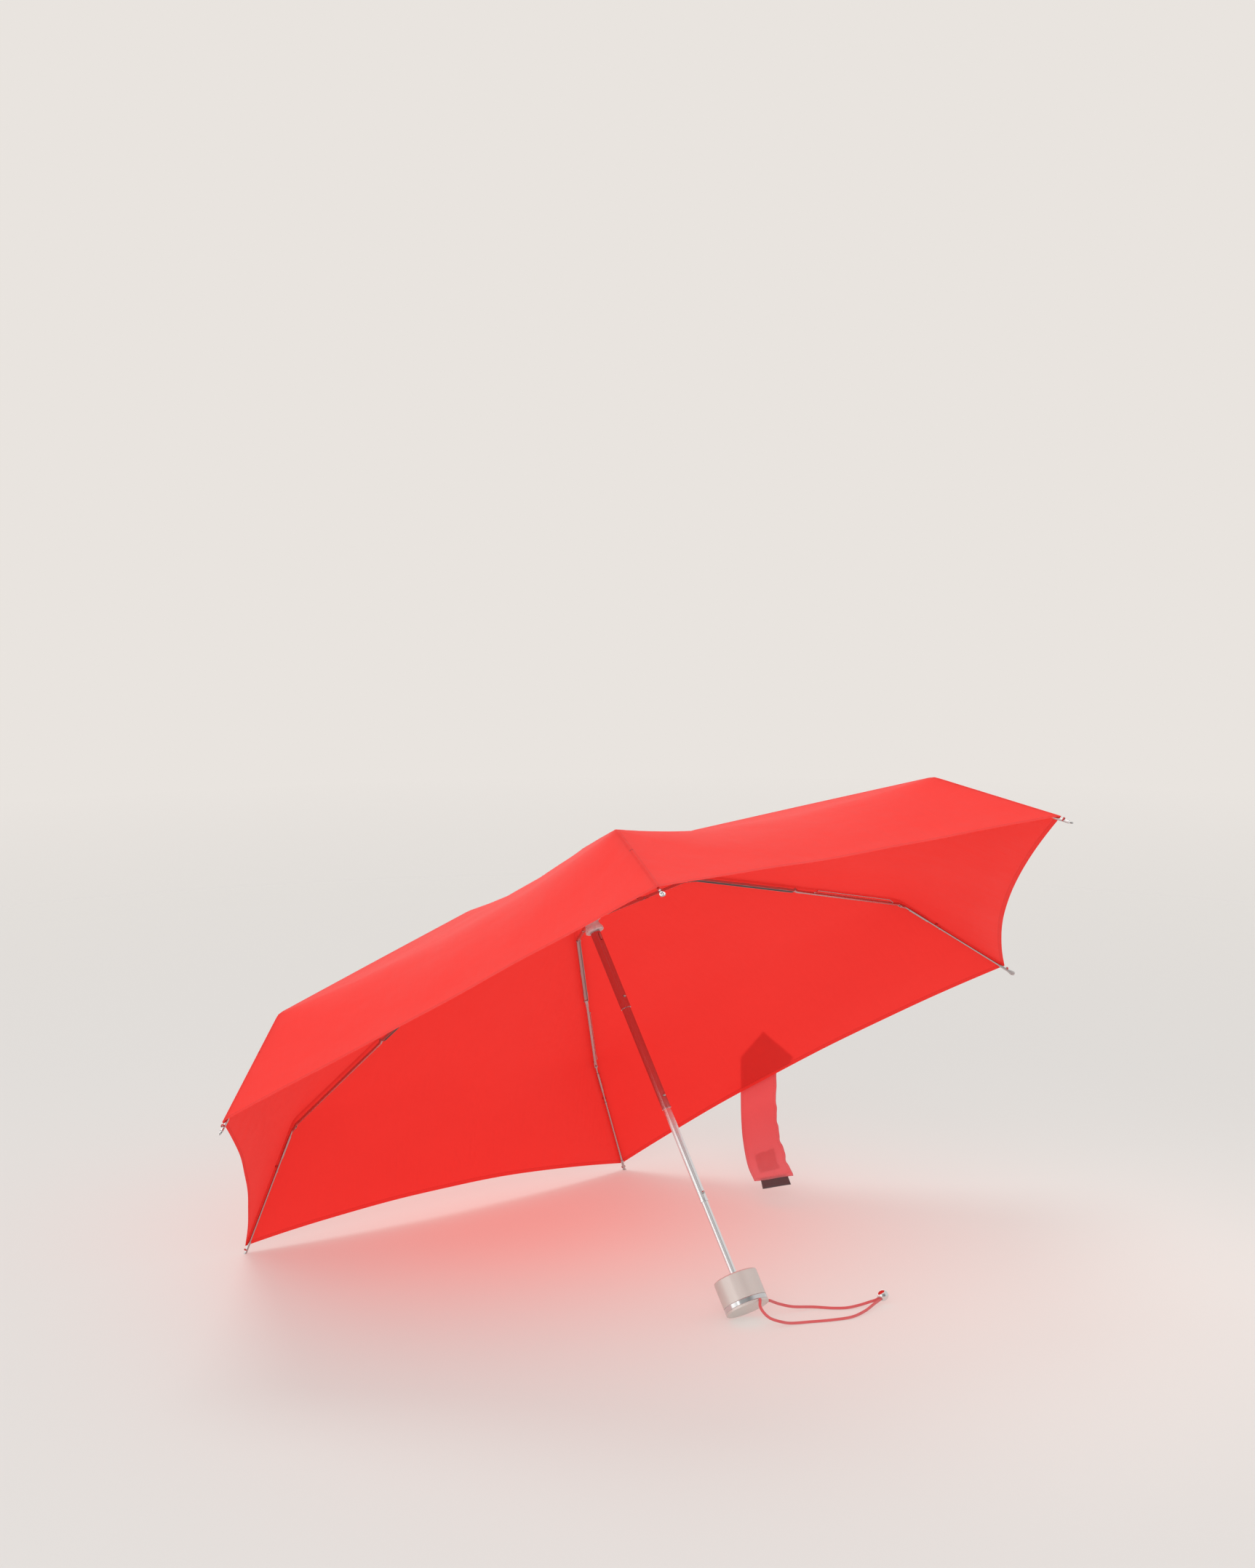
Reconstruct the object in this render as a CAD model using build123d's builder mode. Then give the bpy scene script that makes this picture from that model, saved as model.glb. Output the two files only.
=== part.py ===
from build123d import *
from collections import namedtuple
import math
import os

os.makedirs("parts", exist_ok=True)

# Compact folding umbrella, open, shaft along +Z, handle at the bottom.
# Origin: centre of the flat end of the handle. Rib 1 lies over +X and the
# six ribs follow at 60 degree steps. Spring buttons and catch face +Y.
# Millimetres and degrees.

# ---- driving dimensions -------------------------------------------------
rib_count = 6

# handle
handle_r = 20.3
cap_h = 2.4
band_h = 4.6
handle_top = 32.0
sleeve_bore = 17.2
sleeve_roof = 2.0
core_low = 8.2
core_bore = 3.12
boss_low = 3.0
shaft_pin_z = 5.4
shaft_pin_r = 0.8
shaft_pin_hole_r = 0.82

# telescopic shaft, tube 1 is the thickest and on top
tube_r = {1: 4.75, 2: 4.10, 3: 3.60, 4: 3.10}
tube_bore = {1: 4.15, 2: 3.65, 3: 3.15, 4: 2.65}
tube_low = {1: 299.0, 2: 198.0, 3: 105.3, 4: 3.2}
tube_high = {1: 420.0, 2: 315.0, 3: 214.0, 4: 121.0}
flute_count = 8
flute_r = 1.5
flute_depth = 0.18

# button n fixes tube n + 1 in tube n
button_z = {1: 310.0, 2: 210.0, 3: 113.3}
button_r = 1.25
button_hole_r = button_r + 0.12
button_proud = 1.2
leaf_w = 2.0

# hub at the top of the shaft and runner below it
hub_r = 8.5
crown_z = 412.0
runner_z = 391.0
crown_wire_r = 0.45
runner_bore = 4.84
runner_sleeve_r = 6.6
runner_low = 377.2
runner_high = 404.0

# rib linkage, in the plane of one rib (r, z)
strut_len = 121.33
second_tilt = -15.1
second_len = 116.0
knee = (357.6, 347.6)
tip = (457.0, 257.6)
pin_off = 1.4  # from a hinge pin to the middle line of its bar
pin_r = 0.5
fixed_hole_r = 0.51
free_hole_r = 0.56

# canopy: circumradius and height of the fabric over the ribs, hem to top
canopy_profile = [(450.0, 268.0), (357.0, 355.0), (124.0, 418.6), (86.0, 422.0), (16.0, 428.0)]
canopy_r = canopy_profile[0][0]
fabric_t = 0.5
hem_sag = 14.0

# ground plane under the open umbrella resting on its handle rim and two tips
ground_at = Vector(0, -handle_r, 0)
ground_across = Vector(1, 0, 0)
ground_along = Vector(0, 0.81732, -0.57618)
ground_up = Vector(0, 0.57618, 0.81732)

# wrist cord
cord_r = 1.2
cord_angles = (92, 160)  # where its two ends meet the end cap
cord_z = cap_h / 2


# ---- helpers ------------------------------------------------------------
def save(part, name):
    part.label = name
    export_step(part, "parts/" + name + ".step")


def radial(angle):
    a = math.radians(angle)
    return Vector(math.cos(a), math.sin(a), 0)


def tangent(angle):
    a = math.radians(angle)
    return Vector(-math.sin(a), math.cos(a), 0)


def rib_plane(k):
    """Upright plane of rib k, with local x outward and local y along +Z."""
    angle = 360.0 / rib_count * (k - 1)
    return Plane(origin=(0, 0, 0), x_dir=radial(angle), z_dir=tangent(angle) * -1)


# A bar in a rib's plane: its zero point (r, z), tilt above level, and length.
# Bar coordinates are x along the bar and h above it.
Bar = namedtuple("Bar", "start tilt length", defaults=(0.0, 0.0))


def on_bar(bar, x, h):
    """Rib-plane point (r, z) of bar coordinates (x, h)."""
    a = math.radians(bar.tilt)
    return (
        bar.start[0] + x * math.cos(a) - h * math.sin(a),
        bar.start[1] + x * math.sin(a) + h * math.cos(a),
    )


def bar_point(plane, bar, x, h):
    """Point in space of bar coordinates (x, h)."""
    return plane.from_local_coords(Vector(*on_bar(bar, x, h), 0))


def box(x_start, x_end, h_low, h_high):
    return [(x_start, h_low), (x_end, h_low), (x_end, h_high), (x_start, h_high)]


def slab(plane, bar, outline, half, mode=Mode.ADD):
    """A flat plate in a rib's plane, from an outline in bar coordinates."""
    with BuildSketch(plane) as shape:
        with BuildLine():
            Polyline(*[on_bar(bar, x, h) for x, h in outline], close=True)
        make_face()
    extrude(shape.sketch, amount=half, both=True, mode=mode)


def disc(plane, bar, x, h, radius, half, mode=Mode.ADD, middle=0.0):
    """A round lug, pin or hole across a rib's plane."""
    with BuildSketch(plane.offset(middle)) as shape:
        with Locations(on_bar(bar, x, h)):
            Circle(radius)
    extrude(shape.sketch, amount=half, both=True, mode=mode)


def rivet(plane, bar, x, h, half, head_r, head_half, head_middle):
    """A pin with a flat head near each end."""
    disc(plane, bar, x, h, pin_r, half)
    disc(plane, bar, x, h, head_r, head_half, middle=head_middle)
    disc(plane, bar, x, h, head_r, head_half, middle=-head_middle)


# ---- handle -------------------------------------------------------------
def make_handle_end_cap():
    with BuildPart() as end_cap:
        with BuildSketch(Plane.XY):
            Circle(handle_r)
        extrude(amount=cap_h)
        chamfer(end_cap.faces().sort_by(Axis.Z)[0].edges(), 0.4)
        # spigot that plugs into the sleeve
        with BuildSketch(Plane.XY.offset(cap_h)):
            Circle(16.0)
            Circle(13.0, mode=Mode.SUBTRACT)
        extrude(amount=5.5)
        # two blind holes in the edge, in line with the ends of the wrist cord
        for angle in cord_angles:
            hole_plane = Plane(origin=(0, 0, 0), x_dir=tangent(angle), z_dir=radial(angle))
            with BuildSketch(hole_plane.offset(17.2)):
                with Locations((0, cord_z)):
                    Circle(0.9)
            extrude(amount=4.0, mode=Mode.SUBTRACT)
    save(end_cap.part, "handle_end_cap")


def make_handle_band():
    with BuildPart() as band:
        with BuildSketch(Plane.XY.offset(cap_h)):
            Circle(handle_r)
            Circle(16.2, mode=Mode.SUBTRACT)
        extrude(amount=band_h)
        fillet(band.edges().filter_by(GeomType.CIRCLE).sort_by(SortBy.RADIUS)[-2:], 0.45)
    save(band.part, "handle_band")


def make_handle_sleeve():
    sleeve_low = cap_h + band_h
    mouth_r = 5.4
    outline = [  # r, z
        (sleeve_bore, sleeve_low),
        (handle_r, sleeve_low),
        (handle_r, handle_top - 1.2),
        (handle_r - 0.35, handle_top - 0.35),
        (handle_r - 1.2, handle_top),
        (mouth_r, handle_top),
        (mouth_r, handle_top - sleeve_roof),
        (sleeve_bore, handle_top - sleeve_roof),
    ]
    with BuildPart() as sleeve:
        with BuildSketch(Plane.XZ):
            with BuildLine():
                Polyline(*outline, close=True)
            make_face()
        revolve(axis=Axis.Z)
    save(sleeve.part, "handle_sleeve")


def make_handle_core():
    with BuildPart() as core:
        # outer wall
        with BuildSketch(Plane.XY.offset(core_low)):
            Circle(sleeve_bore - 0.1)
            Circle(14.6, mode=Mode.SUBTRACT)
        extrude(amount=handle_top - sleeve_roof - 0.2 - core_low)
        # filling with six round channels about the shaft
        with BuildSketch(Plane.XY.offset(core_low)):
            Circle(14.7)
            with PolarLocations(9.2, 6, start_angle=30):
                Circle(3.2, mode=Mode.SUBTRACT)
            Circle(core_bore, mode=Mode.SUBTRACT)
        extrude(amount=20.0)
        # boss that grips the lowest tube
        with BuildSketch(Plane.XY.offset(boss_low)):
            Circle(5.4)
            Circle(core_bore, mode=Mode.SUBTRACT)
        extrude(amount=core_low - boss_low)
        # cross hole for the shaft pin
        with BuildSketch(Plane.XZ):
            with Locations((0, shaft_pin_z)):
                Circle(shaft_pin_hole_r)
        extrude(amount=8.0, both=True, mode=Mode.SUBTRACT)
    save(core.part, "handle_core")


def make_shaft_pin():
    with BuildPart() as pin:
        with BuildSketch(Plane.XZ):
            with Locations((0, shaft_pin_z)):
                Circle(shaft_pin_r)
        extrude(amount=5.3, both=True)
    save(pin.part, "shaft_pin")


# ---- telescopic shaft ---------------------------------------------------
def make_tube(n):
    low, high = tube_low[n], tube_high[n]
    plain_low = 3.0
    plain_top = 15.0 if n == 1 else 0.0
    with BuildPart() as tube:
        with BuildSketch(Plane.XY.offset(low)):
            Circle(tube_r[n])
        extrude(amount=high - low)
        # shallow drawn flutes along the outside
        with BuildSketch(Plane.XY.offset(low + plain_low)):
            with PolarLocations(tube_r[n] + flute_r - flute_depth, flute_count, start_angle=22.5):
                Circle(flute_r)
        extrude(amount=high - low - plain_low - plain_top, mode=Mode.SUBTRACT)
        if n in (2, 3):
            # rolled rim at the lower end
            with BuildSketch(Plane.XY.offset(low)):
                Circle(tube_r[n] + 0.25)
            extrude(amount=1.4)
        with BuildSketch(Plane.XY.offset(low)):
            Circle(tube_bore[n])
        extrude(amount=high - low, mode=Mode.SUBTRACT)
        # holes for the buttons at the lower and upper joints
        for joint in (n, n - 1):
            if joint in button_z:
                with BuildSketch(Plane.XZ):
                    with Locations((0, button_z[joint])):
                        Circle(button_hole_r)
                extrude(amount=-8.0, mode=Mode.SUBTRACT)
        if n == 1:
            # window for the catch that holds the runner up
            with BuildSketch(Plane.XZ):
                with Locations((0, 370.6)):
                    Rectangle(1.9, 7.2)
            extrude(amount=-8.0, mode=Mode.SUBTRACT)
        if n == 4:
            with BuildSketch(Plane.XZ):
                with Locations((0, shaft_pin_z)):
                    Circle(shaft_pin_hole_r)
            extrude(amount=8.0, both=True, mode=Mode.SUBTRACT)
    save(tube.part, "tube_%d" % n)


def make_spring_button(n):
    """A domed stud on a leaf that is bent inside the inner tube."""
    z = button_z[n]
    inside_r = tube_bore[n + 1] - 0.55
    leaf_y = inside_r - 0.45
    foot_y = 1.9 - inside_r
    with BuildPart() as button:
        with BuildSketch(Plane.XZ.offset(-leaf_y)):
            with Locations((0, z)):
                Circle(button_r)
        extrude(amount=-(tube_r[n] + button_proud - leaf_y))
        fillet(button.faces().sort_by(Axis.Y)[-1].edges(), 0.7)
        # leaf
        with BuildSketch(Plane.XZ.offset(-leaf_y)):
            with Locations((0, z - 5.0)):
                Rectangle(leaf_w, 13.4)
        extrude(amount=-0.4)
        # return bend, then the foot on the far side of the axis
        with BuildSketch(Plane.XZ.offset(-leaf_y)):
            with Locations((0, z - 11.4)):
                Rectangle(leaf_w, 0.6)
        extrude(amount=2.0 * inside_r - 1.9)
        with BuildSketch(Plane.XZ.offset(-foot_y)):
            with Locations((0, z - 8.0)):
                Rectangle(leaf_w, 7.4)
        extrude(amount=0.45)
    save(button.part, "spring_button_%d" % n)


# ---- runner -------------------------------------------------------------
def make_runner():
    outline = [  # r, z
        (runner_bore, runner_low),
        (8.0, runner_low),
        (8.7, runner_low + 0.7),
        (8.5, runner_low + 3.0),
        (7.0, runner_low + 5.6),
        (runner_sleeve_r, runner_low + 8.0),
        (runner_sleeve_r, runner_z - 3.4),
        (10.0, runner_z - 2.6),
        (10.2, runner_z - 2.2),
        (10.2, runner_z + 2.2),
        (9.8, runner_z + 2.6),
        (runner_sleeve_r, runner_z + 3.4),
        (runner_sleeve_r, runner_high - 0.6),
        (runner_sleeve_r - 0.6, runner_high),
        (runner_bore, runner_high),
    ]
    with BuildPart() as runner:
        with BuildSketch(Plane.XZ):
            with BuildLine():
                Polyline(*outline, close=True)
            make_face()
        revolve(axis=Axis.Z)
        # open slots for the strut ends
        for k in range(1, rib_count + 1):
            slot = box(7.1, 12.0, -16.0, 6.0)
            slab(rib_plane(k), Bar((0, runner_z)), slot, 1.0, Mode.SUBTRACT)
        # key groove that passes over the catch and the spring button
        with BuildSketch(Plane.XY.offset(runner_low)):
            with Locations((0, runner_bore)):
                Rectangle(2.9, 2.9)
        extrude(amount=runner_high - runner_low, mode=Mode.SUBTRACT)
    save(runner.part, "runner")


def make_runner_catch():
    """Sloping nose that stands out of the shaft below the runner."""
    root_y = tube_bore[1] + 0.08
    nose_y = tube_r[1] + 1.15
    outline = [  # y, z
        (root_y, 367.6),
        (4.9, 367.6),
        (nose_y, 373.2),
        (nose_y, 373.9),
        (root_y, 373.9),
    ]
    with BuildPart() as catch:
        with BuildSketch(Plane.YZ):
            with BuildLine():
                Polyline(*outline, close=True)
            make_face()
        extrude(amount=0.8, both=True)
    save(catch.part, "runner_catch")


# ---- crown --------------------------------------------------------------
def make_crown():
    bore = tube_r[1] + 0.02
    stud_r = 2.6
    outline = [  # r, z
        (bore, crown_z - 5.5),
        (6.5, crown_z - 5.5),
        (6.5, crown_z - 3.2),
        (10.2, crown_z - 3.2),
        (10.2, crown_z + 8.5),
        (8.0, 425.0),
        (stud_r, 425.0),
        (stud_r, 431.0),
        (0.0, 431.0),
        (0.0, 420.2),
        (bore, 420.2),
    ]
    with BuildPart() as crown:
        with BuildSketch(Plane.XZ):
            with BuildLine():
                Polyline(*outline, close=True)
            make_face()
        revolve(axis=Axis.Z)
        # open slots for the top ribs
        for k in range(1, rib_count + 1):
            slot = box(6.9, 12.0, -4.0, 1.8)
            slab(rib_plane(k), Bar((0, crown_z)), slot, 0.8, Mode.SUBTRACT)
        # groove for the wire ring
        with BuildSketch(Plane.XZ):
            with Locations((hub_r, crown_z)):
                Circle(crown_wire_r + 0.02)
        revolve(axis=Axis.Z, mode=Mode.SUBTRACT)
    save(crown.part, "crown")


def make_crown_wire():
    with BuildPart() as wire:
        with BuildSketch(Plane.XZ):
            with Locations((hub_r, crown_z)):
                Circle(crown_wire_r)
        revolve(axis=Axis.Z)
    save(wire.part, "crown_wire")


def make_top_cap():
    outline = [  # r, z
        (2.63, 428.7), (10.6, 428.7), (10.9, 429.6), (10.2, 432.2), (8.0, 434.6),
        (4.6, 436.2), (0, 436.8), (0, 431.4), (2.63, 431.4),
    ]
    with BuildPart() as cap:
        with BuildSketch(Plane.XZ):
            with BuildLine():
                Polyline(*outline, close=True)
            make_face()
        revolve(axis=Axis.Z)
    save(cap.part, "top_cap")


# ---- rib linkage --------------------------------------------------------
# The strut is measured from its middle, the other bars from their inner pin.
half_strut = strut_len / 2
strut_tilt = math.degrees(math.asin((crown_z - runner_z) / strut_len))
strut_mid = (
    hub_r + half_strut * math.cos(math.radians(strut_tilt)),
    (crown_z + runner_z) / 2,
)
top_bar = Bar((hub_r, crown_z), -strut_tilt, half_strut)
strut_bar = Bar(strut_mid, strut_tilt, strut_len)
second_bar = Bar(on_bar(strut_bar, half_strut, -pin_off), second_tilt, second_len)
elbow = on_bar(second_bar, second_len, 2 * pin_off)

# the third rib's middle line lies pin_off below the elbow pin and pin_off
# above the knee pin
to_knee = (knee[0] - elbow[0], knee[1] - elbow[1])
third_len = math.sqrt(math.hypot(*to_knee) ** 2 - (2 * pin_off) ** 2)
third_tilt = math.degrees(
    math.atan2(to_knee[1], to_knee[0]) + math.atan2(2 * pin_off, third_len)
)
third_bar = Bar(elbow, third_tilt, third_len)
knee_pin_at = on_bar(third_bar, third_len, -2 * pin_off)

# the outer rib's middle line lies pin_off above the knee pin
to_tip = (tip[0] - knee_pin_at[0], tip[1] - knee_pin_at[1])
outer_len = math.sqrt(math.hypot(*to_tip) ** 2 - pin_off**2)
outer_tilt = math.degrees(math.atan2(to_tip[1], to_tip[0]) - math.atan2(pin_off, outer_len))
outer_bar = Bar(knee_pin_at, outer_tilt, outer_len)


def make_top_rib(k):
    """Flat bar from the crown to the middle of the strut."""
    plane, bar, end = rib_plane(k), top_bar, top_bar.length
    half = 0.6
    with BuildPart() as rib:
        slab(plane, bar, box(0, end, -0.95, 0.95), half)
        disc(plane, bar, 0, 0, 1.2, half)
        disc(plane, bar, end, 0, 1.15, half)
        disc(plane, bar, 0, 0, 0.57, 1.0, Mode.SUBTRACT)
        disc(plane, bar, end, 0, free_hole_r, 1.0, Mode.SUBTRACT)
    save(rib.part, "top_rib_%d" % k)


def make_strut(k):
    """Channel from the runner out to the second rib, with its middle rivet."""
    plane, bar, end = rib_plane(k), strut_bar, half_strut
    half = 1.35
    inside = 0.75
    tongue = 0.7
    hooked_end = [
        (end - 7, -1.2), (end - 2.4, 1.2), (end + 1.0, -0.6),
        (end + 0.4, -2.55), (end - 1.6, -2.3),
    ]
    with BuildPart() as strut:
        slab(plane, bar, box(-48, end - 2.4, -1.2, 1.2), half)
        slab(plane, bar, hooked_end, half)
        disc(plane, bar, end, -pin_off, 1.25, half)
        # channel, open on top, with a gap in its floor at the rivet
        slab(plane, bar, box(-50, end + 3, -0.8, 1.5), inside, Mode.SUBTRACT)
        slab(plane, bar, box(-5, 5, -1.5, 0), inside, Mode.SUBTRACT)
        slab(plane, bar, box(end - 4.5, end + 3, -3.5, 1.5), inside, Mode.SUBTRACT)
        # flat tongue at the runner
        slab(plane, bar, box(-end, -43, -0.9, 0.85), tongue)
        disc(plane, bar, -end, 0, 0.9, tongue)
        disc(plane, bar, 0, 0, fixed_hole_r, 2.0, Mode.SUBTRACT)
        disc(plane, bar, end, -pin_off, free_hole_r, 2.0, Mode.SUBTRACT)
    with BuildPart() as mid_rivet:
        rivet(plane, bar, 0, 0, half=1.75, head_r=0.95, head_half=0.18, head_middle=1.55)
    save(Compound([strut.part, mid_rivet.part]), "strut_%d" % k)


def make_second_rib(k):
    """Broad channel with a pin at each end, two crimped clips and an elbow."""
    plane, bar, end = rib_plane(k), second_bar, second_bar.length
    half = 1.85
    inside = 1.45
    clip_half = 2.05
    low, high = pin_off - 1.2, pin_off + 1.2
    roof = pin_off + 0.8
    clip_top = pin_off + 1.35
    elbow_h = 2 * pin_off
    inner_end = [(-0.9, 0.9), (2.4, high), (7, high), (7, low), (0.9, -0.9)]
    elbow_end = [
        (end - 8, low), (end - 2.4, low), (end + 0.9, elbow_h - 0.9),
        (end - 0.9, elbow_h + 0.9), (end - 2.6, high), (end - 8, high),
    ]
    with BuildPart() as rib:
        slab(plane, bar, box(2.4, end - 2.4, low, high), half)
        slab(plane, bar, inner_end, half)
        disc(plane, bar, 0, 0, 1.3, half)
        slab(plane, bar, elbow_end, half)
        disc(plane, bar, end, elbow_h, 1.3, half)
        slab(plane, bar, box(56, 65, low, clip_top), clip_half)
        slab(plane, bar, box(end - 19, end - 9, low, clip_top), clip_half)
        # channel, open below, and the forks at both ends
        slab(plane, bar, box(-3, end + 3, pin_off - 1.6, roof), inside, Mode.SUBTRACT)
        slab(plane, bar, box(-3, 2.6, -3, 5), inside, Mode.SUBTRACT)
        slab(plane, bar, box(-3, 7.6, -1.5, roof), inside, Mode.SUBTRACT)
        slab(plane, bar, box(end - 2.8, end + 3, -3, 6), inside, Mode.SUBTRACT)
        disc(plane, bar, 0, 0, fixed_hole_r, 3.0, Mode.SUBTRACT)
        disc(plane, bar, end, elbow_h, fixed_hole_r, 3.0, Mode.SUBTRACT)
    with BuildPart() as pins:
        for x, h in ((0, 0), (end, elbow_h)):
            rivet(plane, bar, x, h, half=2.2, head_r=0.95, head_half=0.15, head_middle=2.03)
    save(Compound([rib.part, *pins.part.solids()]), "second_rib_%d" % k)


def make_third_rib(k):
    """Slim bar between the elbow and the knee, with the knee pin."""
    plane, bar, end = rib_plane(k), third_bar, third_bar.length
    end_half = 1.35
    low, high = -pin_off - 1.0, -pin_off + 1.0
    knee_h = -2 * pin_off
    elbow_end = [(-0.9, -0.9), (0.9, 0.9), (3.4, high), (8, high), (8, low), (2.4, low)]
    knee_end = [
        (end - 8, high), (end - 3.4, high), (end + 0.9, knee_h + 0.9),
        (end - 0.9, knee_h - 0.9), (end - 3.4, low), (end - 8, low),
    ]
    with BuildPart() as rib:
        slab(plane, bar, box(2.6, end - 2.6, low, high), 1.1)
        slab(plane, bar, elbow_end, end_half)
        disc(plane, bar, 0, 0, 1.25, end_half)
        slab(plane, bar, knee_end, end_half)
        disc(plane, bar, end, knee_h, 1.25, end_half)
        # fork at the knee
        slab(plane, bar, box(end - 3.0, end + 2.5, -5, 1), 0.75, Mode.SUBTRACT)
        disc(plane, bar, 0, 0, free_hole_r, 2.0, Mode.SUBTRACT)
        disc(plane, bar, end, knee_h, fixed_hole_r, 2.0, Mode.SUBTRACT)
    with BuildPart() as knee_pin:
        # same place as the knee end of the third rib
        pin_bar = Bar(knee_pin_at, third_tilt)
        rivet(plane, pin_bar, 0, 0, half=1.7, head_r=0.9, head_half=0.15, head_middle=1.53)
    save(Compound([rib.part, knee_pin.part]), "third_rib_%d" % k)


def make_control_wire(k):
    """Spring wire beside the third rib that folds the outer rib with it."""
    plane, end = rib_plane(k), third_bar.length
    stations = [  # offset from the rib's plane, x and h on the third rib's bar
        (1.4, 21.0, -pin_off),
        (2.7, 22.0, -pin_off),
        (2.7, 25.0, 0.9),
        (2.7, end - 15.0, 0.9),
        (2.7, end - 11.5, -pin_off),
        (1.4, end - 10.5, -pin_off),
    ]
    path = [bar_point(plane.offset(side), third_bar, x, h) for side, x, h in stations]
    with BuildPart() as wire:
        with BuildLine():
            FilletPolyline(*path, radius=0.8)
        with BuildSketch(Plane(origin=path[0], z_dir=(path[1] - path[0]).normalized())):
            Circle(0.38)
        sweep(transition=Transition.RIGHT)
    save(wire.part, "control_wire_%d" % k)


def make_outer_rib(k):
    """Rod with its spring sleeve, thread ring and eyelet tip."""
    plane, bar, end = rib_plane(k), outer_bar, outer_bar.length
    half = 0.65
    low, high = pin_off - 0.9, pin_off + 0.9
    rod_start = bar_point(plane, bar, 3.0, pin_off)
    rib_tip = bar_point(plane, bar, end, pin_off)
    along = (rib_tip - rod_start).normalized()
    across = plane.z_dir
    up = along.cross(across)
    rounds = [  # distance from the rod's start, radius, length
        (0.0, 0.95, end - 4.0),  # rod
        (6.0, 1.4, 22.0),  # spring sleeve
        (41.0, 1.4, 1.6),  # thread ring
        (end - 21.0, 1.35, 14.0),  # collar near the tip
    ]
    eyelet_neck = [(-6.0, -1.0), (-6.0, 1.0), (-1.0, 2.5), (1.0, 2.3), (1.0, -2.3), (-1.0, -2.5)]
    eyelet_t = 1.2
    with BuildPart() as rib:
        disc(plane, bar, 0, 0, 1.25, half)
        slab(plane, bar, [(-0.9, 0.9), (2.4, high), (5, high), (5, low), (0.9, -0.9)], half)
        disc(plane, bar, 0, 0, free_hole_r, 2.0, Mode.SUBTRACT)
        for distance, radius, length in rounds:
            with BuildSketch(Plane(origin=rod_start + along * distance, x_dir=across, z_dir=along)):
                Circle(radius)
            extrude(amount=length)
        eyelet_plane = Plane(origin=rib_tip - along * 2.6, x_dir=along, z_dir=up)
        with BuildSketch(eyelet_plane.offset(-eyelet_t / 2)):
            with BuildLine():
                Polyline(*eyelet_neck, close=True)
            make_face()
            Circle(2.6)
            Circle(1.25, mode=Mode.SUBTRACT)
        extrude(amount=eyelet_t)
    save(rib.part, "outer_rib_%d" % k)


# ---- canopy -------------------------------------------------------------
def polygon_loft(profile):
    """Faceted solid through polygons of (circumradius, z)."""
    with BuildPart() as solid:
        for r, z in profile:
            with BuildSketch(Plane.XY.offset(z)):
                RegularPolygon(radius=r, side_count=rib_count)
        loft(ruled=True)
    return solid.part


def make_canopy():
    # the inside starts a little below and outside the hem to cut it cleanly
    inner_profile = [(450.6, 267.0)] + [(r - 0.2, z - fabric_t) for r, z in canopy_profile]
    outside = polygon_loft(canopy_profile)
    inside = polygon_loft(inner_profile)
    half_chord = canopy_r / 2
    scallop_r = (half_chord**2 + hem_sag**2) / (2 * hem_sag)
    scallop_at = canopy_r * math.cos(math.pi / rib_count) - hem_sag + scallop_r
    with BuildPart() as canopy:
        add(outside)
        add(inside, mode=Mode.SUBTRACT)
        # scalloped hem between the tips
        with BuildSketch(Plane.XY.offset(200.0)):
            with PolarLocations(scallop_at, rib_count, start_angle=180 / rib_count):
                Circle(scallop_r)
        extrude(amount=250.0, mode=Mode.SUBTRACT)
        # hole that the crown's stud passes through
        with BuildSketch(Plane.XY.offset(400.0)):
            Circle(3.0)
        extrude(amount=60.0, mode=Mode.SUBTRACT)
    save(canopy.part, "canopy")


# ---- tie strap ----------------------------------------------------------
# It hangs from the hem between ribs 4 and 5, turned about the hem so that
# it falls toward the ground. Local x runs along the hem, local y down it.
hem_dir = radial(-60)
strap_at = Vector(-304.5, -232.0, 277.0)
strap_plane = Plane(
    origin=strap_at, x_dir=hem_dir, z_dir=hem_dir.cross(ground_up * -1).normalized()
)
strap_w = 36.0
strap_len = 96.0
strap_half_t = 0.5


def make_tie_strap():
    half_w = strap_w / 2
    with BuildPart() as strap:
        with BuildSketch(strap_plane):
            with BuildLine():
                Polyline(*box(-half_w, half_w, -1.2, strap_len), close=True)
            make_face()
        extrude(amount=strap_half_t, both=True)
    save(strap.part, "tie_strap")


def make_strap_hook_patch():
    with BuildPart() as patch:
        with BuildSketch(strap_plane.offset(-strap_half_t - 0.02)):
            with Locations((0, strap_len - 14.0)):
                RectangleRounded(22.0, 20.0, 2.0)
        extrude(amount=-0.9)
    save(patch.part, "strap_hook_patch")


def make_strap_tag():
    with BuildPart() as tag:
        with BuildSketch(strap_plane):
            with Locations((0, strap_len + 5.2)):
                Rectangle(28.0, 10.0)
        extrude(amount=0.4, both=True)
    save(tag.part, "strap_tag")


def make_strap_anchor():
    """Sewn end of the strap, outside the hem, pointing up the canopy."""
    outward = Vector(-0.63551071, -0.36691228, 0.67933903)
    upward = outward.cross(hem_dir).normalized()
    anchor_at = strap_at + outward * 3.4 + upward * 2.0
    half_w = strap_w / 2
    outline = [(-half_w, 0), (half_w, 0), (half_w, 22), (0, 44), (-half_w, 22)]
    with BuildPart() as anchor:
        with BuildSketch(Plane(origin=anchor_at, x_dir=hem_dir, z_dir=outward)):
            with BuildLine():
                Polyline(*outline, close=True)
            make_face()
        extrude(amount=0.4, both=True)
    save(anchor.part, "strap_anchor")


# ---- wrist cord ---------------------------------------------------------
def on_ground(across, along, height):
    return ground_at + ground_across * across + ground_along * along + ground_up * height


bead_at = on_ground(-124.7, 56.4, 9.0)
bead_dir = (ground_across * -0.9 - ground_along * 0.04 + ground_up * 0.42).normalized()
bead_side = ground_up.cross(bead_dir).normalized()
bead_r = 5.1
strand_off = 1.9  # from the bead's axis to each strand


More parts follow.
